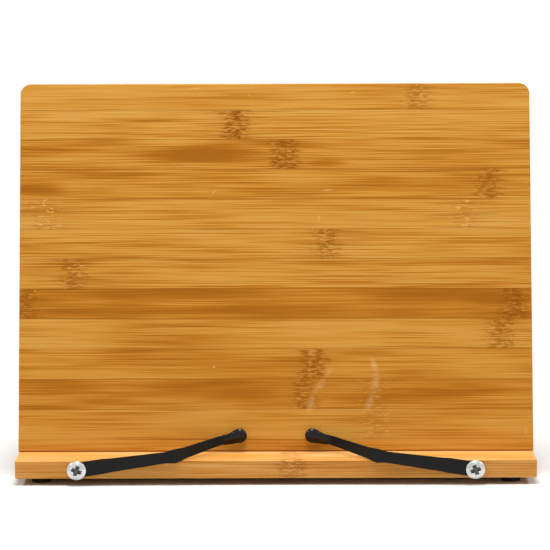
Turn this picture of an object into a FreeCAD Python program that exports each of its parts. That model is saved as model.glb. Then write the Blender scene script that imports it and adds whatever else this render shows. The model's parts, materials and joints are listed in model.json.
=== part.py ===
import FreeCAD, Part
import math
import os

Vector = FreeCAD.Vector
Rotation = FreeCAD.Rotation
Placement = FreeCAD.Placement

# A folding bamboo book stand, in millimetres. X runs to the right, Y to the back and Z up.
# Everything is drawn with y = 0 where the board's face meets the ledge, then moved to the origin at the end.

# Board
board_width = 340.0
board_height = 246.0
board_thickness = 10.0
board_lean = 14.0
board_corner_radius = 7.0
board_edge_round = 0.6
board_foot_gap = 0.3
board_foot_round = 0.8

# Base
base_depth = 246.0
ledge_depth = 30.0
base_thickness = 12.0
base_edge_round = 1.0
rail_inset = 61.0
rail_width = 18.0
rear_bar_depth = 24.0
leaf_margin = 4.0
dowel_diameter = 5.0
dowel_length = 24.0
dowel_spacing = 9.0
glue_gap = 0.05

# Rubber feet
foot_height = 4.6
foot_top_diameter = 14.0
foot_bottom_diameter = 12.0
foot_recess_diameter = 7.0
foot_recess_depth = 2.5
foot_inset = 16.0

# Hinges
hinge_inset = 50.0
knuckle_diameter = 6.0
knuckle_count = 3
knuckle_play = 0.3
hinge_pin_diameter = 2.6
hinge_pin_play = 0.06
leaf_width = 36.0
leaf_length = 18.0
leaf_thickness = 1.2
leaf_corner_radius = 2.0
leaf_screw_spacing = 22.0

# Prop
wire_diameter = 4.0
wire_bend_radius = 8.0
prop_side_gap = 10.0
sleeve_diameter = 8.0
sleeve_end_wall = 1.5
sleeve_margin = 0.5
groove_clearance = 0.3
groove_count = 5
groove_lean_step = 12.0
folded_lean = 88.5

# Saddles
saddle_width = 12.0
saddle_thickness = 1.2
saddle_tab = 8.0
saddle_play = 0.08

# Wood screws
wood_screw_diameter = 2.8
wood_screw_head = 5.4
wood_screw_length = 8.0
pan_head_height = 1.8

# Page clips
clip_screw_inset = 40.2
clip_tip_gap = 38.0
clip_end_lift = 10.5
clip_thickness = 1.0
clip_play = 0.1
clip_bend_radius = 4.0
clip_pad_length = 18.0
clip_pad_width = 9.8
clip_shoulder = 4.0
clip_arm_width = 9.0
clip_waist_width = 7.3
clip_waist_run = 6.0
clip_bend_width = 9.2
clip_neck_width = 5.9
clip_bend_share = 0.578
clip_neck_lead = 1.5
clip_proud = 4.4
tip_length = 16.0
tip_height = 9.7
tip_thickness = 5.6
tip_stations = 12
tip_swell_share = 0.72
tip_round_share = 0.7
tip_closing_share = 0.97
tip_wall = 0.5
tip_rise = 1.2
tip_clearance = 1.2
clip_washer_diameter = 11.0
clip_washer_thickness = 1.0
clip_screw_diameter = 5.0
clip_screw_length = 20.0
clip_head_diameter = 12.4
clip_head_height = 3.2
clip_head_rim = 0.8
recess_span = 11.0
recess_arm = 2.6
recess_depth = 2.8
recess_turn = 20.0

# Values that follow from the sizes above
lean = math.radians(board_lean)
half_knuckle = knuckle_diameter / 2
base_top = foot_height + base_thickness
rail_spacing = board_width - 2 * rail_inset
hinge_spacing = board_width - 2 * hinge_inset
prop_inner_width = rail_spacing - rail_width - 2 * prop_side_gap
saddle_spacing = prop_inner_width / 2
wire_radius = wire_diameter / 2
wood_radius = wood_screw_diameter / 2
head_radius = wood_screw_head / 2
hinge_offset = board_thickness + half_knuckle
hinge_rise = (half_knuckle + hinge_offset * math.sin(lean)) / math.cos(lean)
hinge_y = hinge_offset * math.cos(lean) + hinge_rise * math.sin(lean)
hinge_z = base_top + half_knuckle
folded_reach = base_depth - ledge_depth - rear_bar_depth / 2 - hinge_y
pivot_distance = folded_reach / 2 / math.sin(math.radians(folded_lean))
pivot_y = hinge_y + pivot_distance * math.sin(lean)
pivot_z = hinge_z + pivot_distance * math.cos(lean)
leaf_start = half_knuckle + knuckle_play
ledge_back = hinge_y + leaf_start + leaf_length + leaf_margin
parked_foot_y = hinge_y + folded_reach
rear_bar_front = parked_foot_y - rear_bar_depth / 2
rear_bar_back = parked_foot_y + rear_bar_depth / 2
groove_radius = sleeve_diameter / 2 + groove_clearance
clip_screw_spacing = board_width - 2 * clip_screw_inset
clip_run = (clip_screw_spacing - clip_tip_gap) / 2
clip_rise = base_thickness / 2 + clip_end_lift
clip_raise = math.degrees(math.atan2(clip_rise, clip_run))
clip_reach = math.hypot(clip_run, clip_rise)
clip_bend_reach = clip_bend_share * clip_reach
clip_neck_reach = clip_reach - tip_length - clip_neck_lead
clip_screw_z = foot_height + base_thickness / 2
clip_back_y = -ledge_depth - clip_washer_thickness - clip_play
clip_mid_y = clip_back_y - clip_thickness / 2
head_seat_y = clip_back_y - clip_thickness - clip_play
front_y = head_seat_y - clip_head_height
middle_y = (front_y + rear_bar_back) / 2

right = Vector(1, 0, 0)
back = Vector(0, 1, 0)
up = Vector(0, 0, 1)


def box(x_range, y_range, z_range):
    size = [limits[1] - limits[0] for limits in (x_range, y_range, z_range)]
    return Part.makeBox(size[0], size[1], size[2], Vector(x_range[0], y_range[0], z_range[0]))


def rod(diameter, length, start, direction):
    return Part.makeCylinder(diameter / 2, length, start, direction)


def rounded(solid, radius):
    return solid.makeFillet(radius, solid.Edges)


def mirrored(shape):
    return shape.mirror(Vector(0, 0, 0), right)


def both_sides(shape):
    return [shape, mirrored(shape)]


def placed(shape, position, axis, angle):
    moved = shape.copy()
    moved.Placement = Placement(position, Rotation(axis, angle)).multiply(shape.Placement)
    return moved


# The board's own frame: x across, y off its face towards the back, z up along it.
def on_board(shape):
    return placed(shape, Vector(0, 0, base_top), right, -board_lean)


def pan_screw(point, direction):
    shank = rod(wood_screw_diameter, wood_screw_length, point, direction)
    head = rod(wood_screw_head, pan_head_height, point - direction * pan_head_height, direction)
    far = point - direction * pan_head_height
    rim = [edge for edge in head.Edges if (edge.CenterOfMass - far).Length < pan_head_height / 4]
    domed = head.makeFillet(pan_head_height / 2, rim)
    return domed.fuse(shank).removeSplitter()


def flush_screw(point, direction):
    cone = Part.makeCone(head_radius, wood_radius, leaf_thickness, point, direction)
    shank = rod(wood_screw_diameter, wood_screw_length, point, direction)
    return cone.fuse(shank).removeSplitter()


def screw_hole(point, direction):
    deep = wood_screw_length + glue_gap
    return rod(wood_screw_diameter + 2 * glue_gap, deep, point, direction)


def saddle_screw_points():
    outer = wire_radius + saddle_play + saddle_thickness
    reach = outer + saddle_tab / 2
    height = hinge_rise + pivot_distance
    return [Vector(saddle_spacing / 2, board_thickness, height + side * reach) for side in (-1, 1)]


def leaf_screw_points():
    reach = leaf_start + leaf_length / 2
    return [Vector(side * leaf_screw_spacing / 2, reach, 0) for side in (-1, 1)]


def board_leaf_points():
    middle = Vector(hinge_spacing / 2, board_thickness, hinge_rise)
    return [middle + Vector(point.x, 0, point.y) for point in leaf_screw_points()]


def base_leaf_points():
    middle = Vector(hinge_spacing / 2, hinge_y, base_top)
    return [middle + point for point in leaf_screw_points()]


def foot_points():
    front = Vector(board_width / 2 - foot_inset, foot_inset - ledge_depth, foot_height)
    rear = Vector(rail_spacing / 2, parked_foot_y, foot_height)
    return [front, rear]


def groove_positions():
    leans = [board_lean + groove_lean_step * step for step in range(groove_count)]
    places = [2 * pivot_distance * math.sin(math.radians(angle)) for angle in leans]
    return [hinge_y + place for place in places]


def groove(y):
    length = board_width
    return rod(2 * groove_radius, length, Vector(-length / 2, y, hinge_z), right)


def dowel_rows():
    inner = rail_spacing / 2
    rows = []
    for joint_y in (ledge_back, rear_bar_front):
        for side in (-1, 1):
            x = inner + side * dowel_spacing / 2
            rows.append(Vector(x, joint_y - dowel_length / 2, foot_height + base_thickness / 2))
    return rows


def dowel_holes():
    diameter = dowel_diameter + 2 * glue_gap
    starts = [point - back * glue_gap for point in dowel_rows()]
    return [rod(diameter, dowel_length + 2 * glue_gap, start, back) for start in starts]


def cut_both_sides(solid, cutters):
    for cutter in cutters:
        solid = solid.cut(cutter).cut(mirrored(cutter))
    return solid


# The board's lower front edge is eased, so that it swings past the clips as the board leans back.
def board_foot_easing():
    corner = Vector(-board_width, board_foot_gap * math.tan(lean), base_top + board_foot_gap)
    face_end = corner + Vector(0, math.sin(lean), math.cos(lean))
    enter, middle, leave = corner_arc(face_end, corner, corner + back, board_foot_round)
    arc = Part.Arc(enter, middle, leave).toShape()
    outline = Part.Wire([Part.makeLine(corner, enter), arc, Part.makeLine(leave, corner)])
    return Part.Face(outline).extrude(right * 2 * board_width)


def make_board():
    half = board_width / 2
    panel = box((-half, half), (0, board_thickness), (-board_thickness, board_height))
    top = [edge for edge in panel.Edges if edge.CenterOfMass.z > board_height / 2]
    corners = [edge for edge in top if edge.BoundBox.YLength > board_thickness / 2]
    panel = panel.makeFillet(board_corner_radius, corners)
    sides = [edge for edge in panel.Edges if edge.CenterOfMass.z > -board_thickness / 2]
    rims = [edge for edge in sides if edge.BoundBox.YLength < board_thickness / 2]
    panel = panel.makeFillet(board_edge_round, rims)
    holes = [screw_hole(point, -back) for point in saddle_screw_points() + board_leaf_points()]
    panel = on_board(cut_both_sides(panel, holes))
    wide = (-board_width, board_width)
    below = box(wide, wide, (-board_width, base_top + board_foot_gap))
    return panel.cut(below).cut(board_foot_easing())


def make_ledge_bar():
    half = board_width / 2
    bar = box((-half, half), (-ledge_depth, ledge_back), (foot_height, base_top))
    bar = rounded(bar, base_edge_round)
    holes = [screw_hole(point, -up) for point in base_leaf_points()]
    holes.append(screw_hole(foot_points()[0], up))
    holes += dowel_holes()
    start = Vector(clip_screw_spacing / 2, -ledge_depth, clip_screw_z)
    holes.append(rod(clip_screw_diameter + 2 * glue_gap, clip_screw_length, start, back))
    return cut_both_sides(bar, holes)


def make_right_rail():
    middle = rail_spacing / 2
    sides = (middle - rail_width / 2, middle + rail_width / 2)
    rail = box(sides, (ledge_back, rear_bar_front), (foot_height, base_top))
    long_edges = [edge for edge in rail.Edges if edge.BoundBox.YLength > rail_width]
    rail = rail.makeFillet(base_edge_round, long_edges)
    for y in groove_positions():
        rail = rail.cut(groove(y))
    for hole in dowel_holes():
        rail = rail.cut(hole)
    return rail


def make_rear_bar():
    half = (rail_spacing + rail_width) / 2
    bar = box((-half, half), (rear_bar_front, rear_bar_back), (foot_height, base_top))
    bar = rounded(bar, base_edge_round).cut(groove(parked_foot_y))
    return cut_both_sides(bar, dowel_holes() + [screw_hole(foot_points()[1], up)])


def make_dowels():
    pins = [rod(dowel_diameter, dowel_length, start, back) for start in dowel_rows()]
    pins = [pin.makeChamfer(dowel_diameter / 10, [pin.Edges[0], pin.Edges[2]]) for pin in pins]
    return pins + [mirrored(pin) for pin in pins]


def make_feet():
    feet = []
    for top in foot_points():
        ground = top - up * foot_height
        foot = Part.makeCone(foot_bottom_diameter / 2, foot_top_diameter / 2, foot_height, ground)
        recess = rod(foot_recess_diameter, foot_recess_depth, ground, up)
        hole = rod(wood_screw_diameter + 2 * glue_gap, foot_height, ground, up)
        feet += both_sides(foot.cut(recess).cut(hole))
    return feet


def make_foot_screws():
    screws = []
    for top in foot_points():
        screws += both_sides(pan_screw(Vector(top.x, top.y, foot_recess_depth), up))
    return screws


# Leaf of a butt hinge in the hinge's own frame: it lies under the axis and runs back.
# Each leaf has its own share of the knuckles.
def make_leaf(own_knuckles):
    half = leaf_width / 2
    under = -half_knuckle
    plate = box((-half, half), (leaf_start, leaf_start + leaf_length), (under, under + leaf_thickness))
    upright = [edge for edge in plate.Edges if edge.BoundBox.ZLength > leaf_thickness / 2]
    corners = [edge for edge in upright if edge.CenterOfMass.y > leaf_start + leaf_length / 2]
    plate = plate.makeFillet(leaf_corner_radius, corners)
    step = leaf_width / knuckle_count
    for index in own_knuckles:
        start = -half + index * step + knuckle_play / 2
        width = step - knuckle_play
        barrel = rod(knuckle_diameter, width, Vector(start, 0, 0), right)
        neck = box((start, start + width), (0, leaf_start + knuckle_play), (under, under + leaf_thickness))
        plate = plate.fuse(barrel).fuse(neck)
    bore_diameter = hinge_pin_diameter + 2 * hinge_pin_play
    bore = rod(bore_diameter, 2 * leaf_width, Vector(-leaf_width, 0, 0), right)
    plate = plate.cut(bore).removeSplitter()
    for point in leaf_screw_points():
        seat = Vector(point.x, point.y, under + leaf_thickness)
        radius = head_radius + glue_gap
        plate = plate.cut(Part.makeCone(radius, wood_radius + glue_gap, leaf_thickness, seat, -up))
    return plate


def make_base_leaf():
    leaf = make_leaf(range(0, knuckle_count, 2))
    leaf.translate(Vector(hinge_spacing / 2, hinge_y, hinge_z))
    return leaf


def make_board_leaf():
    leaf = make_leaf(range(1, knuckle_count, 2))
    leaf.rotate(Vector(0, 0, 0), right, -90.0)
    leaf = leaf.mirror(Vector(0, 0, 0), up)
    leaf.translate(Vector(hinge_spacing / 2, hinge_offset, hinge_rise))
    return on_board(leaf)


def make_hinge_pins():
    start = Vector(hinge_spacing / 2 - leaf_width / 2, hinge_y, hinge_z)
    return both_sides(rod(hinge_pin_diameter, leaf_width, start, right))


def make_base_leaf_screws():
    seats = [point + up * leaf_thickness for point in base_leaf_points()]
    screws = [flush_screw(seat, -up) for seat in seats]
    return screws + [mirrored(screw) for screw in screws]


def make_board_leaf_screws():
    seats = [point + back * leaf_thickness for point in board_leaf_points()]
    screws = [on_board(flush_screw(seat, -back)) for seat in seats]
    return screws + [mirrored(screw) for screw in screws]


# The prop's own frame: its pivot is the x axis and its foot lies at z = -pivot_distance.
def on_prop(shape):
    return placed(shape, Vector(0, pivot_y, pivot_z), right, board_lean)


def corner_arc(before, corner, after, radius):
    first = (before - corner).normalize()
    second = (after - corner).normalize()
    half_angle = first.getAngle(second) / 2
    tangent = radius / math.tan(half_angle)
    middle = (first + second).normalize()
    centre = corner + middle * (radius / math.sin(half_angle))
    return corner + first * tangent, centre - middle * radius, corner + second * tangent


def smooth_path(points, radius):
    edges = []
    start = points[0]
    for index in range(1, len(points) - 1):
        enter, middle, leave = corner_arc(points[index - 1], points[index], points[index + 1], radius)
        edges.append(Part.makeLine(start, enter))
        edges.append(Part.Arc(enter, middle, leave).toShape())
        start = leave
    edges.append(Part.makeLine(start, points[-1]))
    return Part.Wire(edges)


def wire_end():
    return rail_spacing / 2 + rail_width / 2 - sleeve_margin - sleeve_end_wall


def make_prop_wire():
    arm = prop_inner_width / 2
    foot = -pivot_distance
    left_half = [Vector(-wire_end(), 0, foot), Vector(-arm, 0, foot), Vector(-arm, 0, 0)]
    right_half = [Vector(-point.x, point.y, point.z) for point in reversed(left_half)]
    path = smooth_path(left_half + right_half, wire_bend_radius)
    section = Part.Wire(Part.makeCircle(wire_radius, left_half[0], right))
    return on_prop(path.makePipeShell([section], True, True))


def make_prop_sleeves():
    inner = rail_spacing / 2 - rail_width / 2 + sleeve_margin
    outer = wire_end() + sleeve_end_wall
    foot = Vector(inner, 0, -pivot_distance)
    sleeve = rod(sleeve_diameter, outer - inner, foot, right)
    end = [edge for edge in sleeve.Edges if edge.CenterOfMass.x > outer - sleeve_margin]
    sleeve = sleeve.makeFillet(sleeve_end_wall, end)
    sleeve = sleeve.cut(rod(wire_diameter, wire_end() - inner, foot, right))
    return both_sides(on_prop(sleeve))


def make_saddle():
    inner = wire_radius + saddle_play
    outer = inner + saddle_thickness
    half = saddle_width / 2
    reach = outer + saddle_tab
    strap = box((-half, half), (0, saddle_thickness), (-reach, reach))
    sides = [edge for edge in strap.Edges if edge.BoundBox.YLength > saddle_thickness / 2]
    strap = strap.makeFillet(saddle_tab / 4, sides)
    hump = box((-half, half), (0, half_knuckle), (-outer, outer))
    hump = hump.fuse(rod(2 * outer, saddle_width, Vector(-half, half_knuckle, 0), right))
    tunnel = box((-half, half), (0, half_knuckle), (-inner, inner))
    tunnel = tunnel.fuse(rod(2 * inner, saddle_width, Vector(-half, half_knuckle, 0), right))
    hump = hump.common(box((-half, half), (0, board_thickness), (-reach, reach)))
    strap = strap.fuse(hump).cut(tunnel).removeSplitter()
    strap.translate(Vector(saddle_spacing / 2, board_thickness, hinge_rise + pivot_distance))
    for point in saddle_screw_points():
        strap = strap.cut(rod(wood_screw_diameter + 2 * glue_gap, 2 * saddle_thickness, point, back))
    return on_board(strap)


def make_saddle_screws():
    seats = [point + back * saddle_thickness for point in saddle_screw_points()]
    screws = [on_board(pan_screw(seat, -back)) for seat in seats]
    return screws + [mirrored(screw) for screw in screws]


# The left clip's own frame: its screw is the y axis, x runs along the strip and z across it.
def on_left_screw(shape):
    return placed(shape, Vector(-clip_screw_spacing / 2, 0, clip_screw_z), back, -clip_raise)


def tip_middle_y():
    raise_angle = math.radians(clip_raise)
    reach = clip_reach - tip_length / 2
    height = clip_screw_z + reach * math.sin(raise_angle) + tip_rise * math.cos(raise_angle)
    face_y = (height - base_top) * math.tan(lean)
    thick = tip_thickness / 2 * math.cos(lean)
    tall = tip_height / 2 * math.sin(lean)
    return face_y - (math.hypot(thick, tall) + tip_clearance) / math.cos(lean)


def clip_path():
    tip_y = tip_middle_y()
    points = [Vector(-clip_pad_width, clip_mid_y, 0), Vector(clip_pad_length, clip_mid_y, 0)]
    points.append(Vector(clip_bend_reach, -ledge_depth - clip_proud, 0))
    points.append(Vector(clip_neck_reach, tip_y, 0))
    points.append(Vector(clip_reach - tip_thickness / 2, tip_y, 0))
    return points


def clip_outline():
    upper = [Vector(0, 0, clip_pad_width / 2), Vector(clip_pad_length, 0, clip_pad_width / 2)]
    upper.append(Vector(clip_pad_length + clip_shoulder, 0, clip_arm_width / 2))
    upper.append(Vector(clip_bend_reach - clip_waist_run, 0, clip_waist_width / 2))
    upper.append(Vector(clip_bend_reach, 0, clip_bend_width / 2))
    upper.append(Vector(clip_bend_reach + clip_waist_run, 0, clip_waist_width / 2))
    upper.append(Vector(clip_neck_reach, 0, clip_neck_width / 2))
    upper.append(Vector(clip_reach, 0, clip_neck_width / 2))
    lower = [Vector(point.x, 0, -point.z) for point in reversed(upper)]
    return Part.Face(Part.makePolygon(upper + lower + upper[:1]))


# A flat band along the clip's path, cut to the clip's outline.
def make_clip_strip():
    path = smooth_path(clip_path(), clip_bend_radius)
    inside = Vector(-clip_pad_width, clip_back_y, -clip_pad_width)
    thick = Part.Wire(Part.makeLine(inside - back * clip_thickness, inside))
    sheet = path.makePipeShell([thick], False, False)
    lengths = sheet.extrude(Vector(0, 0, 2 * clip_pad_width)).Solids
    band = lengths[0].multiFuse(lengths[1:])
    deep = 2 * board_width
    outline = clip_outline().extrude(Vector(0, deep, 0))
    outline.translate(Vector(0, -board_width, 0))
    pad = rod(clip_pad_width, deep, Vector(0, -board_width, 0), back)
    strip = band.common(outline.fuse(pad))
    hole = rod(clip_screw_diameter + 2 * clip_play, deep, Vector(0, -board_width, 0), back)
    return strip.cut(hole).removeSplitter().Solids[0]


def tip_section(reach, rise, height, thickness):
    middle = Vector(reach, tip_middle_y(), rise)
    if height > thickness:
        shape = Part.Ellipse(middle + up * height / 2, middle + back * thickness / 2, middle)
    else:
        shape = Part.Ellipse(middle + back * thickness / 2, middle + up * height / 2, middle)
    return Part.Wire(shape.toShape())


# The dipped tip swells from a thin collar on the strip to a blunt, rounded end.
def make_clip_tip(strip):
    collar = clip_reach - tip_length
    collar_height = clip_neck_width + 2 * tip_wall
    collar_thickness = clip_thickness + 2 * tip_wall
    sections = []
    for index in range(tip_stations + 1):
        part = index / tip_stations
        closing = max(part - tip_round_share, 0) / (1 - tip_round_share)
        swell = math.sqrt(1 - tip_closing_share * closing ** 2)
        grow = (1 - math.cos(math.pi * min(part / tip_swell_share, 1))) / 2
        height = swell * (collar_height + (tip_height - collar_height) * grow)
        thickness = swell * (collar_thickness + (tip_thickness - collar_thickness) * grow)
        sections.append(tip_section(collar + part * tip_length, tip_rise * grow, height, thickness))
    tip = Part.makeLoft(sections, True)
    return tip.cut(strip)


def make_clip_washers():
    start = Vector(clip_screw_spacing / 2, -ledge_depth, clip_screw_z)
    washer = rod(clip_washer_diameter, clip_washer_thickness, start, -back)
    hole = rod(clip_screw_diameter + 2 * glue_gap, clip_washer_thickness, start, -back)
    return both_sides(washer.cut(hole))


# A truss head: a straight rim, a dome over it and a cross recess that narrows as it goes in.
def make_clip_screws():
    radius = clip_head_diameter / 2
    dome = clip_head_height - clip_head_rim
    sphere_radius = (radius ** 2 + dome ** 2) / (2 * dome)
    head = rod(clip_head_diameter, clip_head_height, Vector(0, 0, 0), up)
    ball = Part.makeSphere(sphere_radius, Vector(0, 0, clip_head_height - sphere_radius))
    head = head.common(ball)
    shank_length = clip_screw_length - glue_gap + (-ledge_depth - head_seat_y)
    screw = head.fuse(rod(clip_screw_diameter, shank_length, Vector(0, 0, 0), -up))
    for turn in (0, 90):
        wing = Part.makeWedge(
            -recess_span / 2, 0, -recess_arm / 2, -recess_arm / 2, -recess_arm / 2,
            recess_span / 2, recess_depth, recess_arm / 2, recess_arm / 2, recess_arm / 2)
        wing.rotate(Vector(0, 0, 0), right, -90)
        wing.rotate(Vector(0, 0, 0), up, turn + recess_turn)
        wing.translate(Vector(0, 0, clip_head_height))
        screw = screw.cut(wing)
    screw = screw.removeSplitter()
    screw.rotate(Vector(0, 0, 0), right, 90)
    screw.translate(Vector(clip_screw_spacing / 2, head_seat_y, clip_screw_z))
    return both_sides(screw)


def build():
    right_rail = make_right_rail()
    base_leaf = make_base_leaf()
    board_leaf = make_board_leaf()
    saddle = make_saddle()
    strip = make_clip_strip()
    left_strip = on_left_screw(strip)
    left_tip = on_left_screw(make_clip_tip(strip))
    return {
        "board": make_board(),
        "ledge_bar": make_ledge_bar(),
        "left_rail": mirrored(right_rail),
        "right_rail": right_rail,
        "rear_bar": make_rear_bar(),
        "dowels": make_dowels(),
        "feet": make_feet(),
        "foot_screws": make_foot_screws(),
        "left_base_leaf": mirrored(base_leaf),
        "right_base_leaf": base_leaf,
        "left_board_leaf": mirrored(board_leaf),
        "right_board_leaf": board_leaf,
        "hinge_pins": make_hinge_pins(),
        "base_leaf_screws": make_base_leaf_screws(),
        "board_leaf_screws": make_board_leaf_screws(),
        "prop_wire": make_prop_wire(),
        "prop_sleeves": make_prop_sleeves(),
        "left_saddle": mirrored(saddle),
        "right_saddle": saddle,
        "saddle_screws": make_saddle_screws(),
        "left_clip_strip": left_strip,
        "right_clip_strip": mirrored(left_strip),
        "left_clip_tip": left_tip,
        "right_clip_tip": mirrored(left_tip),
        "clip_washers": make_clip_washers(),
        "clip_screws": make_clip_screws(),
    }


def save(nodes):
    os.makedirs("parts", exist_ok=True)
    for name, made in nodes.items():
        shape = Part.makeCompound(made) if isinstance(made, list) else made
        shape.translate(Vector(0, -middle_y, 0))
        shape.exportStep("parts/" + name + ".step")
        state = "valid" if shape.isValid() else "INVALID"
        print(name, len(shape.Solids), "solids", round(shape.Volume, 1), "mm3", state)


save(build())
print("hinge axis y z", hinge_y - middle_y, hinge_z)
print("prop pivot y z", pivot_y - middle_y, pivot_z)
print("clip screws x y z", clip_screw_spacing / 2, head_seat_y - middle_y, clip_screw_z)
print("front back", front_y - middle_y, rear_bar_back - middle_y, "face line y", -middle_y)
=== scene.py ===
import bpy
import bmesh
import json
import math
from mathutils import Matrix, Vector


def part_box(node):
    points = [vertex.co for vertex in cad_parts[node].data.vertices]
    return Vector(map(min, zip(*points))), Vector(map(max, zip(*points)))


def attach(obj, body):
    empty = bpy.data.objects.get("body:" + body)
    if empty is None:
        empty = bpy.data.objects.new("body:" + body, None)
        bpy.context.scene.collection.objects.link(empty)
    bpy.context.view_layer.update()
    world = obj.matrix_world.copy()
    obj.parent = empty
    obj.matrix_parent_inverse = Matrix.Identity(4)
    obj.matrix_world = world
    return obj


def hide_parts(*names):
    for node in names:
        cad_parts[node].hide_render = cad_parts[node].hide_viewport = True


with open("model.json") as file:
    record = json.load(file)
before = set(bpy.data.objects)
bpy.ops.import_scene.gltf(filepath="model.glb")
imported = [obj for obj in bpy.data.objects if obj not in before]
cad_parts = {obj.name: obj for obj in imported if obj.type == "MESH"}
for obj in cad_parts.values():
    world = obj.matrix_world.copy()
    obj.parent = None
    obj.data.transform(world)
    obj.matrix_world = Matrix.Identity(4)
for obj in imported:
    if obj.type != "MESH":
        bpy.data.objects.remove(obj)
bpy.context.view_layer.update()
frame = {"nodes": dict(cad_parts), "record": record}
print("stand loaded:", len(frame["nodes"]), "nodes")

scene = bpy.context.scene
scene.view_settings.view_transform = "Standard"

# the board's face meets the ledge behind the ledge's front and leans back from there
boardLean = math.radians(14.0)
ledgeDepth = 0.030
washerRadius = 0.0055
ledgeLow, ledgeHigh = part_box("ledge_bar")
washerLow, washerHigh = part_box("clip_washers")
stand = {
    "lean": boardLean,
    "faceY": ledgeLow.y + ledgeDepth,
    "ledgeTop": ledgeHigh.z,
    "ledgeFront": ledgeLow.y,
    "ledgeUnder": ledgeLow.z,
    "screwX": washerHigh.x - washerRadius,
    "screwZ": (washerLow.z + washerHigh.z) / 2,
    "headFront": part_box("clip_screws")[0].y,
}


def hexColour(text):
    parts = [int(text[i:i + 2], 16) / 255 for i in (0, 2, 4)]
    linear = [p / 12.92 if p <= 0.04045 else ((p + 0.055) / 1.055) ** 2.4 for p in parts]
    return (*linear, 1.0)


# one node with its settings, its colour stops and what goes into its sockets; a node stands for its first output
def addNode(tree, kind, inputs=None, stops=(), **settings):
    node = tree.nodes.new("ShaderNode" + kind)
    for key, value in settings.items():
        setattr(node, key, value)
    for i, (position, colour) in enumerate(stops):
        elements = node.color_ramp.elements
        stop = elements[i] if i < 2 else elements.new(position)
        stop.position = position
        stop.color = colour
    for socket, value in (inputs or {}).items():
        if isinstance(value, bpy.types.Node):
            value = value.outputs[0]
        if isinstance(value, bpy.types.NodeSocket):
            tree.links.new(value, node.inputs[socket])
        else:
            node.inputs[socket].default_value = value
    return node


def newMaterial(name):
    material = bpy.data.materials.new(name)
    material.use_nodes = True
    material.node_tree.nodes.clear()
    return material, material.node_tree


def closeMaterial(tree, shader):
    addNode(tree, "OutputMaterial", {"Surface": shader})


# a new mesh as a piece of the scene, at the origin
def addPiece(bm, name, material):
    mesh = bpy.data.meshes.new(name)
    bm.to_mesh(mesh)
    bm.free()
    mesh.materials.append(material)
    piece = bpy.data.objects.new(name, mesh)
    scene.collection.objects.link(piece)
    return piece


boardGrain = {
    "origin": (0.0, stand["faceY"], stand["ledgeTop"]),
    "turn": (-stand["lean"], 0.0, 0.0),
    "rowHeight": 20.0,
    "rowStart": 248.2,
    # strips from the board's top down: tone from pale 0 to dark 1, how strongly the fibres show,
    # then up to two knuckles as place across in mm, strength and darkness
    "rows": [
        (0.42, 0.55, (95, 0.8, 0.7), None),
        (0.40, 0.80, (-26, 1.0, 1.0), None),
        (0.60, 0.70, (7, 1.0, 0.95), None),
        (0.64, 0.60, (142, 0.9, 0.85), None),
        (0.42, 0.60, (126, 0.8, 0.25), (-153, 0.9, 0.15)),
        (0.46, 0.70, (34, 0.9, 0.75), None),
        (0.47, 0.70, (-134, 0.9, 0.75), None),
        (0.80, 0.40, (157, 1.0, 0.95), (-166, 0.8, 0.9)),
        (0.46, 0.55, (149, 0.8, 0.9), None),
        (0.60, 0.42, (25, 1.0, 0.9), None),
        (0.70, 0.42, (19, 0.9, 0.85), (64, 0.5, 0.2)),
        (0.43, 0.45, (66, 0.6, 0.3), None),
        (0.42, 0.45, (-90, 0.0, 0.5), None),
    ],
    # pale scratches, then two scuffs of three ovals each: place across and up in mm, length, angle, width, strength
    "scratches": [
        (-41, 173, 7.0, 52, 0.6, 0.9),
        (-52, 243, 16.0, 2, 0.9, 0.6),
        (-17, 238, 6.0, -35, 0.5, 0.7),
        (35, 174, 12.0, 5, 2.5, 0.25),
        (29, 155, 9.0, 85, 1.4, 0.35),
        (-41, 56, 2.5, 10, 1.2, 0.8),
        (52, 240, 6.0, 12, 0.8, 0.7),
        (165, 13, 7.0, 80, 1.6, 0.4),
        (65, 57, 15.0, 109, 7.0, 0.30),
        (66, 46, 18.0, 80, 8.0, 0.34),
        (62, 32, 19.0, 65, 7.5, 0.28),
        (35, 53, 14.0, 66, 6.5, 0.22),
        (29, 44, 16.0, 49, 7.0, 0.32),
        (23, 31, 20.0, 75, 7.0, 0.28),
    ],
    # soft dark streaks in the fibres, given in the same way; the ledge uses this list for painted shade on its front
    # face
    "streaksAndShade": [
        (-52, 198, 130.0, 0, 17.0, 0.85),
        (-160, 176, 66.0, 0, 11.0, 0.5),
        (69, 179, 60.0, 0, 9.0, 0.35),
        (-40, 105, 260.0, 0, 11.0, 0.25),
        (147, 101, 60.0, 0, 12.0, 0.5),
        (33, 193, 40.0, 0, 8.0, 0.45),
        (-30, 42, 170.0, 0, 24.0, 0.25),
        (90, 4, 190.0, 0, 8.0, 0.25),
    ],
    "markAt": 0.0,
    "markDepth": 6.0,
    "pale": "CE9B4A",
    "mid": "C98C34",
    "dark": "B26E16",
    "deep": "9F5E0C",
    "streak": "8C4E00",
    "glint": "EBBE74",
    "scuff": "F5CF96",
    "roughness": 0.45,
}

# noise as length and width in mm, detail and seed; bamboo's fibres are finer than 0.5 mm, so they are drawn
# coarser to show in the render
bambooNoise = {
    "fine": (80.0, 0.65, 2.0, 3.1),
    "bundle": (75.0, 2.2, 2.0, 17.7),
    "drift": (80.0, 11.0, 1.0, 41.3),
    "lines": (95.0, 0.8, 1.0, 67.9),
    "ragged": (26.0, 1.3, 2.0, 89.1),
    "swirl": (6.0, 5.0, 1.0, 23.9),
}

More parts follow.
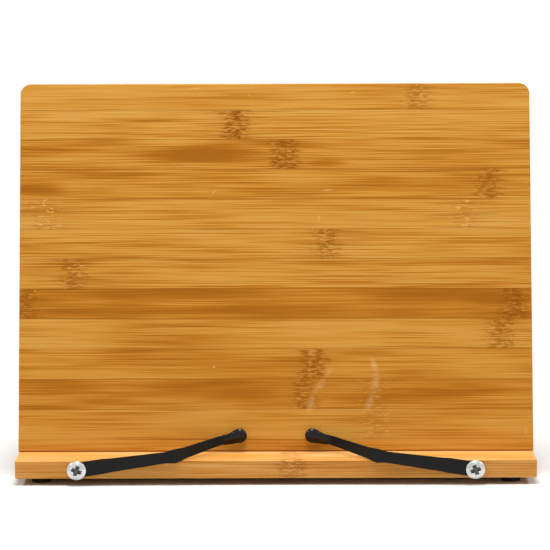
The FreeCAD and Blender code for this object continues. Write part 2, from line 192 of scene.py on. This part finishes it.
# lengths in mm, the rest as shares
bamboo = {
    "shiftAlong": 173.0,
    "shiftAcross": 31.7,
    "tableSpan": 400.0,
    "harshness": 0.6,
    "noiseRange": (0.25, 0.75),
    "fineTone": 0.85,
    "bundleTone": 0.26,
    "driftTone": 0.24,
    "midAt": 0.42,
    "darkAt": 0.78,
    "fray": 26.0,
    "patchFull": 16.5,
    "patchNone": 25.0,
    "tailFull": 2.0,
    "tailNone": 36.0,
    "wave": 3.6,
    "curlLength": 6.0,
    "curlWidth": 1.1,
    "fleckRange": (0.46, 0.54),
    "glintRange": (0.44, 0.36),
    "fleckGround": 0.10,
    "fleckStroke": 0.88,
    "glintOnPale": 0.8,
    "glintOnDark": 0.15,
    "lineLevel": 0.62,
    "lineByKnuckle": -0.15,
    "lineSoft": 0.12,
    "lineStrength": 0.65,
    "seamWidth": 0.75,
    "seamRange": (0.15, 0.75),
    "scuffRange": (0.40, 0.58),
    "scuffLeast": 0.25,
    "smoother": 0.05,
    "rougher": 0.07,
    "knuckleRelief": 0.12,
    "bump": 0.25,
    "bumpDepth": 0.0002,
    "ior": 1.45,
    "shine": 0.15,
}

# most values of a noise lie between these
noiseLow, noiseHigh = 0.3, 0.7


# lacquered bamboo: pressed strips with long straight fibres, darker seams between them and a knuckle here and there
def bambooMaterial(name, look):
    material, tree = newMaterial(name)
    place = addNode(tree, "TexCoord")
    local = addNode(tree, "Mapping", {"Vector": place.outputs["Object"], "Location": look["origin"],
                                      "Rotation": look["turn"]}, vector_type="TEXTURE")
    inMm = addNode(tree, "VectorMath", {0: local, "Scale": 1000.0}, operation="SCALE")
    along, deep, across = addNode(tree, "SeparateXYZ", {0: inMm}).outputs

    # which strip a point is in, counted from the top, and how far down the strip it is
    fromTop = addNode(tree, "Math", {0: look["rowStart"], 1: across}, operation="SUBTRACT")
    rowPlace = addNode(tree, "Math", {0: fromTop, 1: look["rowHeight"]}, operation="DIVIDE")
    rowIndex = addNode(tree, "Math", {0: rowPlace}, operation="FLOOR")
    rowPart = addNode(tree, "Math", {0: rowPlace}, operation="FRACT")
    count = len(look["rows"])
    rowShare = addNode(tree, "Math", {0: rowIndex, 1: 1 / count, 2: 0.5 / count}, operation="MULTIPLY_ADD")

    # each strip's fibres start somewhere else
    shiftAlong = addNode(tree, "Math", {0: rowIndex, 1: bamboo["shiftAlong"], 2: along}, operation="MULTIPLY_ADD")
    shiftAcross = addNode(tree, "Math", {0: rowIndex, 1: bamboo["shiftAcross"], 2: across}, operation="MULTIPLY_ADD")
    grain = addNode(tree, "CombineXYZ", {0: shiftAlong, 1: deep, 2: shiftAcross})

    # tables of the strips: red is the tone and green the fibres' strength, then one for each knuckle
    span = bamboo["tableSpan"]
    columns = [[(tone, fibre, 0.0) for tone, fibre, *_ in look["rows"]]]
    for which in (2, 3):
        given = [row[which] or (0, 0, 0) for row in look["rows"]]
        columns.append([(x / span + 0.5, strength, dark) for x, strength, dark in given])
    tables = []
    for column in columns:
        stops = [(i / count, (*value, 1.0)) for i, value in enumerate(column)]
        table = addNode(tree, "ValToRGB", {0: rowShare}, stops)
        table.color_ramp.interpolation = "CONSTANT"
        tables.append(addNode(tree, "SeparateColor", {0: table}).outputs)
    (stripTone, stripFibre, _), *spots = tables

    def fibres(key):
        length, width, detail, seed = bambooNoise[key]
        stretched = addNode(tree, "VectorMath", {0: grain, 1: (1 / length, 1 / width, 1 / width),
                                                 2: (seed, seed, seed)}, operation="MULTIPLY_ADD")
        return addNode(tree, "TexNoise", {"Vector": stretched, "Scale": 1.0, "Detail": detail,
                                          "Roughness": bamboo["harshness"]})

    fine, bundle, drift, lines, ragged, swirl = [fibres(key) for key in bambooNoise]

    # knuckles: a patch about 15 mm long over the whole strip, curled and speckled, with dark tails along the fibres
    knuckles = []
    for x, strength, dark in spots:
        centre = addNode(tree, "Math", {0: x, 1: span, 2: -span / 2}, operation="MULTIPLY_ADD")
        away = addNode(tree, "Math", {0: along, 1: centre}, operation="SUBTRACT")
        far = addNode(tree, "Math", {0: away}, operation="ABSOLUTE")
        frayed = addNode(tree, "Math", {0: ragged, 1: bamboo["fray"], 2: far}, operation="MULTIPLY_ADD")
        inPatch = addNode(tree, "MapRange", {0: frayed, 1: bamboo["patchFull"], 2: bamboo["patchNone"],
                                             3: 1.0, 4: 0.0}, interpolation_type="SMOOTHSTEP")
        inTail = addNode(tree, "MapRange", {0: far, 1: bamboo["tailFull"], 2: bamboo["tailNone"],
                                            3: 1.0, 4: 0.0}, interpolation_type="SMOOTHSTEP")
        patch = addNode(tree, "Math", {0: inPatch, 1: strength}, operation="MULTIPLY")
        tail = addNode(tree, "Math", {0: inTail, 1: strength}, operation="MULTIPLY")
        knuckles.append((patch, tail, dark))
    (patchA, tailA, darkA), (patchB, tailB, darkB) = knuckles
    patch = addNode(tree, "Math", {0: patchA, 1: patchB}, operation="MAXIMUM")
    tail = addNode(tree, "Math", {0: tailA, 1: tailB}, operation="MAXIMUM")
    isSecond = addNode(tree, "Math", {0: patchB, 1: patchA}, operation="GREATER_THAN")
    darkness = addNode(tree, "Mix", {0: isSecond, 2: darkA, 3: darkB}, data_type="FLOAT")

    # inside a knuckle the fibres wave up and down by a millimetre or two
    wave = addNode(tree, "Math", {0: swirl, 1: bamboo["wave"], 2: shiftAcross}, operation="MULTIPLY_ADD")
    waved = addNode(tree, "CombineXYZ", {0: shiftAlong, 1: deep, 2: wave})
    curlScale = (1 / bamboo["curlLength"], 1 / bamboo["curlWidth"], 1 / bamboo["curlWidth"])
    curls = addNode(tree, "VectorMath", {0: waved, 1: curlScale}, operation="MULTIPLY")
    curl = addNode(tree, "TexNoise", {"Vector": curls, "Scale": 1.0, "Detail": 3.0, "Roughness": bamboo["harshness"]})
    low, high = bamboo["fleckRange"]
    flecks = addNode(tree, "MapRange", {0: curl, 1: low, 2: high}, interpolation_type="SMOOTHSTEP")
    low, high = bamboo["glintRange"]
    glints = addNode(tree, "MapRange", {0: curl, 1: low, 2: high}, interpolation_type="SMOOTHSTEP")

    # colour from pale to dark: the strip's tone, its drift and its fibres
    low, high = bamboo["noiseRange"]
    fineTone, bundleTone, driftTone = [
        addNode(tree, "MapRange", {0: noise, 1: low, 2: high, 3: -bamboo[key], 4: bamboo[key]})
        for noise, key in ((fine, "fineTone"), (bundle, "bundleTone"), (drift, "driftTone"))]
    fibreTone = addNode(tree, "Math", {0: fineTone, 1: bundleTone}, operation="ADD")
    withFibres = addNode(tree, "Math", {0: fibreTone, 1: stripFibre, 2: stripTone}, operation="MULTIPLY_ADD")
    toned = addNode(tree, "Math", {0: withFibres, 1: driftTone}, operation="ADD")

    # an oval place on the piece, 1 at its heart and 0 at its rim
    def ovalAt(x, height, length, angle, width):
        mark = addNode(tree, "Mapping", {"Vector": inMm, "Location": (x, look["markAt"], height),
                                         "Rotation": (0.0, math.radians(-angle), 0.0),
                                         "Scale": (length / 2, look["markDepth"], width / 2)}, vector_type="TEXTURE")
        size = addNode(tree, "VectorMath", {0: mark}, operation="LENGTH")
        return addNode(tree, "MapRange", {0: size.outputs["Value"], 1: 0.0, 2: 1.0, 3: 1.0, 4: 0.0},
                       interpolation_type="SMOOTHSTEP")

    # dark streaks darken the tone inside their ovals; on the ledge the one long oval is painted shade over its front
    # face
    for *spot, strength in look["streaksAndShade"]:
        toned = addNode(tree, "Math", {0: ovalAt(*spot), 1: strength, 2: toned}, operation="MULTIPLY_ADD")
    pale, mid, dark, deepest, streak, glint, scuff = [
        hexColour(look[key]) for key in ("pale", "mid", "dark", "deep", "streak", "glint", "scuff")]
    wood = addNode(tree, "ValToRGB", {0: toned}, [(0.0, pale), (bamboo["midAt"], mid), (bamboo["darkAt"], dark),
                                                  (1.0, deepest)])

    # dark lines run a long way along the fibres, more of them beside a knuckle
    lineCut = addNode(tree, "Math", {0: tail, 1: bamboo["lineByKnuckle"], 2: bamboo["lineLevel"]},
                      operation="MULTIPLY_ADD")
    lineOver = addNode(tree, "Math", {0: lines, 1: lineCut}, operation="SUBTRACT")
    lineEdge = addNode(tree, "MapRange", {0: lineOver, 1: 0.0, 2: bamboo["lineSoft"],
                                          3: 0.0, 4: bamboo["lineStrength"]}, interpolation_type="SMOOTHSTEP")
    lineMask = addNode(tree, "Math", {0: lineEdge, 1: stripFibre}, operation="MULTIPLY")
    lined = addNode(tree, "Mix", {0: lineMask, 6: wood, 7: streak}, data_type="RGBA")

    # seams between the strips show as a thin brown line of uneven strength
    middle = addNode(tree, "Math", {0: rowPart, 1: 0.5}, operation="SUBTRACT")
    offMiddle = addNode(tree, "Math", {0: middle}, operation="ABSOLUTE")
    seamStart = 0.5 - bamboo["seamWidth"] / look["rowHeight"]
    seamEdge = addNode(tree, "MapRange", {0: offMiddle, 1: seamStart, 2: 0.5}, interpolation_type="SMOOTHSTEP")
    low, high = bamboo["seamRange"]
    uneven = addNode(tree, "MapRange", {0: drift, 1: noiseLow, 2: noiseHigh, 3: low, 4: high},
                     interpolation_type="SMOOTHSTEP")
    seamMask = addNode(tree, "Math", {0: seamEdge, 1: uneven}, operation="MULTIPLY")
    seamed = addNode(tree, "Mix", {0: seamMask, 6: lined.outputs[2], 7: streak}, data_type="RGBA")

    # the knuckle's dark strokes on a darker ground, then its pale glints
    ground = addNode(tree, "Math", {0: flecks, 1: bamboo["fleckStroke"], 2: bamboo["fleckGround"]},
                     operation="MULTIPLY_ADD")
    fleckDark = addNode(tree, "Math", {0: ground, 1: darkness}, operation="MULTIPLY")
    fleckMask = addNode(tree, "Math", {0: fleckDark, 1: patch}, operation="MULTIPLY")
    flecked = addNode(tree, "Mix", {0: fleckMask, 6: seamed.outputs[2], 7: streak}, data_type="RGBA")
    glintLevel = addNode(tree, "MapRange", {0: darkness, 3: bamboo["glintOnPale"], 4: bamboo["glintOnDark"]})
    glintPale = addNode(tree, "Math", {0: glints, 1: glintLevel}, operation="MULTIPLY")
    glintMask = addNode(tree, "Math", {0: glintPale, 1: patch}, operation="MULTIPLY")
    surface = addNode(tree, "Mix", {0: glintMask, 6: flecked.outputs[2], 7: glint}, data_type="RGBA")

    # pale scratches and scuffs in the lacquer, broken up by the grain under them
    low, high = bamboo["scuffRange"]
    for *spot, strength in look["scratches"]:
        least = bamboo["scuffLeast"] * strength
        level = addNode(tree, "MapRange", {0: curl, 1: low, 2: high, 3: least, 4: strength},
                        interpolation_type="SMOOTHSTEP")
        broken = addNode(tree, "Math", {0: ovalAt(*spot), 1: level}, operation="MULTIPLY")
        surface = addNode(tree, "Mix", {0: broken, 6: surface.outputs[2], 7: scuff}, data_type="RGBA")

    rough = addNode(tree, "MapRange", {0: fine, 1: noiseLow, 2: noiseHigh,
                                       3: look["roughness"] - bamboo["smoother"],
                                       4: look["roughness"] + bamboo["rougher"]})
    raised = addNode(tree, "Math", {0: curl, 1: patch}, operation="MULTIPLY")
    relief = addNode(tree, "Math", {0: raised, 1: bamboo["knuckleRelief"], 2: fine}, operation="MULTIPLY_ADD")
    bump = addNode(tree, "Bump", {"Strength": bamboo["bump"], "Distance": bamboo["bumpDepth"], "Height": relief})
    shader = addNode(tree, "BsdfPrincipled", {"Base Color": surface.outputs[2], "Roughness": rough,
                                              "IOR": bamboo["ior"], "Specular IOR Level": bamboo["shine"],
                                              "Normal": bump})
    closeMaterial(tree, shader)
    return material


# rows for the ledge and base, which are sawn from the same pressed bamboo: tones step by the golden ratio so none repeat
plainTone = {"palest": 0.30, "spread": 0.34, "step": 0.618, "fibre": 0.55}


def plainRows(seed, count, knuckles):
    rows = []
    for i in range(count):
        tone = plainTone["palest"] + plainTone["spread"] * ((seed + i * plainTone["step"]) % 1.0)
        rows.append((tone, plainTone["fibre"], knuckles.get(i), None))
    return rows


# the ledge's one long oval darkens its whole front face against its top: painted shade
ledgeGrain = dict(
    boardGrain, scratches=[], streaksAndShade=[(0, 0, 800.0, 0, 7.0, 0.27)], markAt=-6.0, markDepth=14.0,
    pale="E2B171", mid="DA9B4B", dark="C98432", deep="B36C20", streak="98560F",
    origin=(0.0, stand["ledgeFront"], stand["ledgeUnder"]), turn=(-math.pi / 2, 0.0, 0.0),
    rowHeight=34.0, rowStart=66.0, rows=plainRows(0.44, 3, {1: (10, 0.65, 0.85)}))
railGrain = dict(
    boardGrain, scratches=[], streaksAndShade=[],
    origin=(0.0, 0.0, stand["ledgeUnder"]), turn=(math.pi / 2, 0.0, math.pi / 2),
    rowHeight=20.0, rowStart=170.0, rows=plainRows(0.6, 17, {3: (-20, 0.8, 0.7), 14: (35, 0.8, 0.7)}))
rearGrain = dict(
    ledgeGrain, streaksAndShade=[],
    rowHeight=17.0, rowStart=260.0, rows=plainRows(0.45, 16, {1: (-40, 0.8, 0.7), 2: (70, 0.8, 0.7)}))
# turned beech: paler and duller than the bamboo
dowelGrain = dict(
    railGrain, pale="DDBB8A", mid="CFA871", dark="B98F58", deep="A87C48", streak="9C7342", roughness=0.6)


# the two colours of a clouded surface, as stops over a noise
def tintStops(look):
    return [(noiseLow, hexColour(look["dark"])), (noiseHigh, hexColour(look["light"]))]


coat = {"cloudMm": 14.0, "spread": 0.08, "depth": 0.0001}


# powder coat and black oxide: near-black paint with a fine pebble that breaks up the gloss
def coatedSteel(name, look):
    material, tree = newMaterial(name)
    place = addNode(tree, "TexCoord").outputs["Object"]
    pebble = addNode(tree, "TexNoise", {"Vector": place, "Scale": 1000 / look["pebbleMm"], "Detail": 3.0})
    cloud = addNode(tree, "TexNoise", {"Vector": place, "Scale": 1000 / coat["cloudMm"], "Detail": 2.0})
    tint = addNode(tree, "ValToRGB", {0: cloud}, tintStops(look))
    rough = addNode(tree, "MapRange", {0: pebble, 1: noiseLow, 2: noiseHigh, 3: look["roughness"] - coat["spread"],
                                       4: look["roughness"] + coat["spread"]})
    bump = addNode(tree, "Bump", {"Strength": look["bump"], "Distance": coat["depth"], "Height": pebble})
    shader = addNode(tree, "BsdfPrincipled", {"Base Color": tint, "Roughness": rough,
                                              "Specular IOR Level": look["shine"], "Normal": bump})
    closeMaterial(tree, shader)
    return material


plating = {"cloudMm": 6.0, "lineMm": 0.5, "linesAlong": 60.0, "smoother": 0.06, "rougher": 0.08,
           "bump": 0.1, "depth": 0.00005}


# plated steel: bright metal with faint drawn lines and a slightly clouded plating
def platedSteel(name, look):
    material, tree = newMaterial(name)
    place = addNode(tree, "TexCoord").outputs["Object"]
    lineScale = 1000 / plating["lineMm"]
    drawn = addNode(tree, "Mapping", {"Vector": place, "Scale": (plating["linesAlong"], lineScale, lineScale)})
    lines = addNode(tree, "TexNoise", {"Vector": drawn, "Scale": 1.0, "Detail": 2.0})
    cloud = addNode(tree, "TexNoise", {"Vector": place, "Scale": 1000 / plating["cloudMm"], "Detail": 2.0})
    tint = addNode(tree, "ValToRGB", {0: cloud}, tintStops(look))
    rough = addNode(tree, "MapRange", {0: lines, 1: noiseLow, 2: noiseHigh,
                                       3: look["roughness"] - plating["smoother"],
                                       4: look["roughness"] + plating["rougher"]})
    bump = addNode(tree, "Bump", {"Strength": plating["bump"], "Distance": plating["depth"], "Height": lines})
    colour = tint.outputs[0]
    recess = look.get("recess")
    if recess:
        # painted shade: the driver recess lies under the dome of the head, so its colour is darkened towards a dark
        # grey the deeper it lies
        axes = addNode(tree, "SeparateXYZ", {0: place}).outputs
        side = addNode(tree, "Math", {0: axes[0]}, operation="ABSOLUTE")
        x = addNode(tree, "Math", {0: side, 1: stand["screwX"]}, operation="SUBTRACT")
        z = addNode(tree, "Math", {0: axes[2], 1: stand["screwZ"]}, operation="SUBTRACT")
        xx = addNode(tree, "Math", {0: x, 1: x}, operation="MULTIPLY")
        away = addNode(tree, "Math", {0: z, 1: z, 2: xx}, operation="MULTIPLY_ADD")
        dome = addNode(tree, "Math", {0: away, 1: 0.5 / recess["domeRadius"], 2: stand["headFront"]},
                       operation="MULTIPLY_ADD")
        under = addNode(tree, "Math", {0: axes[1], 1: dome}, operation="SUBTRACT")
        sunk = addNode(tree, "MapRange", {0: under, 1: recess["from"], 2: recess["to"],
                                          3: 0.0, 4: recess["strength"]})
        near = addNode(tree, "Math", {0: away, 1: recess["radius"] ** 2}, operation="LESS_THAN")
        recessShadeMask = addNode(tree, "Math", {0: sunk, 1: near}, operation="MULTIPLY")
        paintedRecessShade = addNode(tree, "Mix", {0: recessShadeMask, 6: colour, 7: hexColour(recess["colour"])}, data_type="RGBA")
        colour = paintedRecessShade.outputs[2]
    shader = addNode(tree, "BsdfPrincipled", {"Base Color": colour, "Metallic": 1.0, "Roughness": rough,
                                              "Normal": bump})
    closeMaterial(tree, shader)
    return material


skin = {"smoother": 0.85, "rougher": 1.15, "depth": 0.0002}


# dipped vinyl, moulded rubber and nylon: a soft skin, glossy where it was dipped and dull where it was moulded
def softSkin(name, look):
    material, tree = newMaterial(name)
    place = addNode(tree, "TexCoord").outputs["Object"]
    grit = addNode(tree, "TexNoise", {"Vector": place, "Scale": 1000 / look["gritMm"], "Detail": 2.0})
    tint = addNode(tree, "ValToRGB", {0: grit}, tintStops(look))
    rough = addNode(tree, "MapRange", {0: grit, 1: noiseLow, 2: noiseHigh, 3: look["roughness"] * skin["smoother"],
                                       4: look["roughness"] * skin["rougher"]})
    bump = addNode(tree, "Bump", {"Strength": look["bump"], "Distance": skin["depth"], "Height": grit})
    shader = addNode(tree, "BsdfPrincipled", {"Base Color": tint, "Roughness": rough,
                                              "Specular IOR Level": look["shine"], "Normal": bump})
    closeMaterial(tree, shader)
    return material


# dark rubber feet, tinted brown as painted shade so they blend into the brownish shade under the ledge
footRubber = {"gritMm": 0.7, "dark": "21170F", "light": "2B1F16", "roughness": 0.75, "bump": 0.3, "shine": 0.26}
sleeveRubber = {"gritMm": 0.9, "dark": "1C1C1C", "light": "282726", "roughness": 0.65, "bump": 0.25, "shine": 0.45}
# near-black dipped vinyl with a warm brown tint, partly its own colour and partly painted reflection of the bamboo
tipVinyl = {"gritMm": 5.0, "dark": "0B0604", "light": "1C0E07", "roughness": 0.07, "bump": 0.04, "shine": 0.24}
washerNylon = {"gritMm": 1.0, "dark": "CFC8B8", "light": "DAD4C6", "roughness": 0.45, "bump": 0.1, "shine": 0.5}
propCoat = {"pebbleMm": 0.5, "dark": "1A1A1B", "light": "232324", "roughness": 0.48, "shine": 0.35, "bump": 0.25}
clipCoat = {"pebbleMm": 0.4, "dark": "090909", "light": "111112", "roughness": 0.42, "shine": 0.17, "bump": 0.12}
hingeZinc = {"dark": "B9BBB8", "light": "CDCECB", "roughness": 0.34}
screwZinc = {"dark": "BDBEBC", "light": "D2D2D0", "roughness": 0.30}
# bright plated screw, with painted shade in its driver recess
clipScrew = {
    "dark": "B9B9B8", "light": "D0D0CF", "roughness": 0.2,
    "recess": {"domeRadius": 0.00921, "from": 0.0003, "to": 0.0009, "strength": 0.9, "radius": 0.0048,
               "colour": "2A2A2A"},
}
finishes = {
    "board_bamboo": bambooMaterial("lacqueredBambooBoard", boardGrain),
    "ledge_bamboo": bambooMaterial("lacqueredBambooLedge", ledgeGrain),
    "base_bamboo": bambooMaterial("lacqueredBambooRails", railGrain),
    "rear_bamboo": bambooMaterial("lacqueredBambooRearBar", rearGrain),
    "dowel_wood": bambooMaterial("beechDowel", dowelGrain),
    "foot_rubber": softSkin("mouldedRubber", footRubber),
    "sleeve_rubber": softSkin("rubberSleeve", sleeveRubber),
    "tip_vinyl": softSkin("dippedVinyl", tipVinyl),
    "hinge_steel": platedSteel("zincPlatedHinge", hingeZinc),
    "zinc_steel": platedSteel("zincPlatedFixing", screwZinc),
    "prop_steel": coatedSteel("powderCoatedWire", propCoat),
    "clip_steel": coatedSteel("blackenedSpringSteel", clipCoat),
    "washer_nylon": softSkin("naturalNylon", washerNylon),
    "screw_chrome": platedSteel("brightPlatedScrew", clipScrew),
}
print("finishes made:", len(finishes))

for part in frame["record"]["subparts"]:
    node = frame["nodes"][part["node"]]
    key = "rear_bamboo" if part["node"] == "rear_bar" else part["material_slot"]
    node.data.materials.clear()
    node.data.materials.append(finishes[key])
print("finishes on the nodes")

# vertices closer than this are one, and a ring of a sphere is never taken as smaller than this
weld = 0.000001
leastRing = 1e-9

# dipped tips: a drop of vinyl that grows out of a thin collar and ends in a ball
dippedTip = {
    "around": 48,
    "rings": 40,
    "length": 0.0160,
    "across": 0.1108,
    "rise": 0.0165,
    "collar": (0.0069, 0.0020),
    "ball": (0.0097, 0.0056),
    "lift": 0.0012,
    "neckShare": 0.12,
    "swellShare": 0.72,
    "roundShare": 0.70,
}


def makeTip(look, side):
    low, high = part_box(side + "_clip_tip")
    middleY = (low.y + high.y) / 2
    reach = math.hypot(look["across"], look["rise"])
    slope = math.atan2(look["rise"], look["across"])
    bm = bmesh.new()
    bmesh.ops.create_uvsphere(bm, u_segments=look["around"], v_segments=look["rings"], radius=1.0)
    bmesh.ops.rotate(bm, cent=(0, 0, 0), matrix=Matrix.Rotation(math.pi / 2, 3, "Y"), verts=bm.verts)
    for v in bm.verts:
        share = (v.co.x + 1) / 2
        ring = math.sqrt(max(1 - v.co.x ** 2, leastRing))
        closing = max(share - look["roundShare"], 0) / (1 - look["roundShare"])
        swell = math.sqrt(max(1 - closing ** 2, 0))
        pastNeck = max(share - look["neckShare"], 0) / (look["swellShare"] - look["neckShare"])
        grow = (1 - math.cos(math.pi * min(pastNeck, 1))) / 2
        tall, thick = [start + (end - start) * grow for start, end in zip(look["collar"], look["ball"])]
        v.co = Vector((share * look["length"], v.co.y / ring * swell * thick / 2,
                       v.co.z / ring * swell * tall / 2 + look["lift"] * grow))
    bmesh.ops.translate(bm, vec=(reach - look["length"], 0, 0), verts=bm.verts)
    bmesh.ops.rotate(bm, cent=(0, 0, 0), matrix=Matrix.Rotation(-slope, 3, "Y"), verts=bm.verts)
    bmesh.ops.translate(bm, vec=(-stand["screwX"], middleY, stand["screwZ"]), verts=bm.verts)
    if side == "right":
        bmesh.ops.scale(bm, vec=(-1, 1, 1), verts=bm.verts)
    bmesh.ops.remove_doubles(bm, verts=bm.verts, dist=weld)
    bmesh.ops.recalc_face_normals(bm, faces=bm.faces)
    for face in bm.faces:
        face.smooth = True
    tip = addPiece(bm, side + "DippedTip", finishes["tip_vinyl"])
    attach(tip, side + "_clip")
    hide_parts(side + "_clip_tip")


for side in ("left", "right"):
    makeTip(dippedTip, side)
print("tips dipped")

# wood screws: turned heads with a punched cross, whose walls show dark in the bright plating;
# a head's profile runs from its top's rim outward and down, as radius and height
boardBack = Vector((0.0, math.cos(stand["lean"]), -math.sin(stand["lean"])))
flatHead = [(0.0022, 0.0), (0.00248, -0.0002), (0.0014, -0.0012)]
panHead = {"radius": 0.0027, "height": 0.0018, "round": 0.0009, "steps": 8}
woodScrew = {
    "sides": 48,
    "span": 0.0015,
    "arm": 0.00036,
    "deep": 0.0009,
    "floorShare": 0.6,
    "shank": 0.0014,
    "shankStep": 0.00001,
    "turn": 1.9,
}


def panProfile(look):
    inner = look["radius"] - look["round"]
    angles = [math.pi / 2 * i / look["steps"] for i in range(look["steps"] + 1)]
    dome = [(inner + look["round"] * math.sin(a), look["round"] * math.cos(a) - look["round"]) for a in angles]
    return dome + [(look["radius"], -look["height"])]


# the middle of the top of each screw in a node
def screwTops(node, out):
    bm = bmesh.new()
    bm.from_mesh(node.data)
    bmesh.ops.remove_doubles(bm, verts=bm.verts, dist=weld)
    side = out.cross(Vector((1.0, 0.0, 0.0)))
    seen = set()
    tops = []
    for start in bm.verts:
        if start in seen:
            continue
        seen.add(start)
        group = [start]
        for v in group:
            for edge in v.link_edges:
                other = edge.other_vert(v)
                if other not in seen:
                    seen.add(other)
                    group.append(other)
        across = [v.co.x for v in group]
        aside = [v.co.dot(side) for v in group]
        x, y = (min(across) + max(across)) / 2, (min(aside) + max(aside)) / 2
        tops.append(Vector((x, 0, 0)) + side * y + out * max(v.co.dot(out) for v in group))
    bm.free()
    return tops


def circlePoints(radius, sides):
    angles = [2 * math.pi * k / sides for k in range(sides)]
    return [(radius * math.cos(a), radius * math.sin(a)) for a in angles]


def crossPoints(span, arm):
    return [(span, -arm), (span, arm), (arm, arm), (arm, span), (-arm, span), (-arm, arm),
            (-span, arm), (-span, -arm), (-arm, -arm), (-arm, -span), (arm, -span), (arm, -arm)]


# a closed row of points across a screw, at a height along it
def addLoop(bm, top, axes, points, z):
    return [bm.verts.new(top + axes @ Vector((x, y, z))) for x, y in points]


def makeScrews(look, nodeName, body, out, profile, length, name):
    corners = crossPoints(look["span"], look["arm"])
    floorCorners = [(x * look["floorShare"], y * look["floorShare"]) for x, y in corners]
    right = Vector((1.0, 0.0, 0.0))
    axes = Matrix((right, out.cross(right), out)).transposed()
    rings = profile + [(look["shank"], z) for z in (profile[-1][1] - look["shankStep"], -length)]
    bm = bmesh.new()
    for i, top in enumerate(screwTops(frame["nodes"][nodeName], out)):
        turned = axes @ Matrix.Rotation(look["turn"] * i, 3, "Z")
        outside = [addLoop(bm, top, turned, circlePoints(radius, look["sides"]), z) for radius, z in rings]
        cross = addLoop(bm, top, turned, corners, 0.0)
        floor = addLoop(bm, top, turned, floorCorners, -look["deep"])
        edges = [bm.edges.new((ring[k - 1], ring[k])) for ring in (outside[0], cross) for k in range(len(ring))]
        bmesh.ops.triangle_fill(bm, use_beauty=True, edges=edges)
        for upper, lower in [(cross, floor)] + list(zip(outside, outside[1:])):
            for k in range(len(upper)):
                face = bm.faces.new((upper[k - 1], upper[k], lower[k], lower[k - 1]))
                face.smooth = upper is not cross
        bm.faces.new(floor)
        bm.faces.new(outside[-1])
    bmesh.ops.recalc_face_normals(bm, faces=bm.faces)
    screws = addPiece(bm, name, finishes["zinc_steel"])
    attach(screws, body)
    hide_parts(nodeName)


for settings in (
        ("base_leaf_screws", "base", Vector((0.0, 0.0, 1.0)), flatHead, 0.0080, "baseHingeScrews"),
        ("board_leaf_screws", "board", boardBack, flatHead, 0.0080, "boardHingeScrews"),
        ("saddle_screws", "board", boardBack, panProfile(panHead), 0.0098, "saddleFixings")):
    makeScrews(woodScrew, *settings)
print("screws punched")


# 1 for a ray that sees a thing straight, in a mirror or through glass, and 0 for one that only brings light
def directSight(tree):
    ray = addNode(tree, "LightPath").outputs
    seen = addNode(tree, "Math", {0: ray["Is Camera Ray"], 1: ray["Is Glossy Ray"]}, operation="MAXIMUM")
    return addNode(tree, "Math", {0: seen, 1: ray["Is Transmission Ray"]}, operation="MAXIMUM")


# table top: white paper, matt, that keeps the shadow near the stand and fades to pure white away from it
tableTop = {"half": 6.0, "squares": 8, "colour": "F0EFED", "bounce": "D2D1CE", "whiteFrom": 0.20, "whiteTo": 0.46}


def makeTable(look):
    material, tree = newMaterial("whitePaper")
    place = addNode(tree, "TexCoord").outputs["Object"]
    away = addNode(tree, "VectorMath", {0: place}, operation="LENGTH")
    fade = addNode(tree, "MapRange", {0: away.outputs["Value"], 1: look["whiteFrom"], 2: look["whiteTo"]},
                   interpolation_type="SMOOTHSTEP")
    seen = directSight(tree)
    share = addNode(tree, "Math", {0: fade, 1: seen}, operation="MULTIPLY")
    tint = addNode(tree, "Mix", {0: seen, 6: hexColour(look["bounce"]), 7: hexColour(look["colour"])},
                   data_type="RGBA")
    paper = addNode(tree, "BsdfDiffuse", {"Color": tint.outputs[2]})
    bright = addNode(tree, "Emission", {"Color": (1, 1, 1, 1), "Strength": 1.0})
    closeMaterial(tree, addNode(tree, "MixShader", {0: share, 1: paper, 2: bright}))
    bm = bmesh.new()
    bmesh.ops.create_grid(bm, x_segments=look["squares"], y_segments=look["squares"], size=look["half"])
    floor = addPiece(bm, "paperFloor", material)


makeTable(tableTop)
print("table laid")

# soft studio light: an even room, a large softbox overhead, a small one on each side and one in front and above;
# each lamp has its place, its target, its size and its power
studio = {
    "room": 0.27,
    "lamps": [
        ("softboxTop", (0.0, -0.12, 1.45), (0.0, -0.08, 0.1), (0.8, 0.6), 16.0),
        ("softboxLeft", (-1.25, -0.40, 1.10), (0.0, -0.1, 0.08), (0.20, 0.20), 8.0),
        ("softboxRight", (1.25, -0.40, 1.10), (0.0, -0.1, 0.08), (0.20, 0.20), 8.0),
        ("softboxFront", (0.0, -0.85, 1.45), (0.0, -0.1, 0.12), (0.26, 0.22), 5.6),
    ],
}


def makeLight(look):
    world = bpy.data.worlds.new("studioRoom")
    scene.world = world
    world.use_nodes = True
    tree = world.node_tree
    tree.nodes.clear()
    level = addNode(tree, "Mix", {0: directSight(tree), 2: look["room"], 3: 1.0}, data_type="FLOAT")
    air = addNode(tree, "Background", {"Color": (1, 1, 1, 1), "Strength": level})
    addNode(tree, "OutputWorld", {"Surface": air})
    for name, where, target, size, power in look["lamps"]:
        data = bpy.data.lights.new(name, "AREA")
        data.shape = "RECTANGLE"
        data.size, data.size_y = size
        data.energy = power
        lamp = bpy.data.objects.new(name, data)
        lamp.location = where
        lamp.rotation_euler = (Vector(target) - Vector(where)).to_track_quat("-Z", "Y").to_euler()
        scene.collection.objects.link(lamp)


makeLight(studio)
print("studio lit")

# long lens well in front of the stand, looking down a little
lens = {"place": (-0.0003, -2.16515, 0.41402), "down": math.radians(7.6815), "roll": math.radians(-0.16),
        "focal": 209.2, "sensor": 36.0}
cameraData = bpy.data.cameras.new("camera")
cameraData.sensor_width = lens["sensor"]
cameraData.lens = lens["focal"]
camera = bpy.data.objects.new("camera", cameraData)
camera.location = lens["place"]
tilt = Matrix.Rotation(math.pi / 2 - lens["down"], 3, "X")
camera.rotation_euler = (tilt @ Matrix.Rotation(lens["roll"], 3, "Z")).to_euler()
scene.collection.objects.link(camera)
scene.camera = camera
print("camera placed")
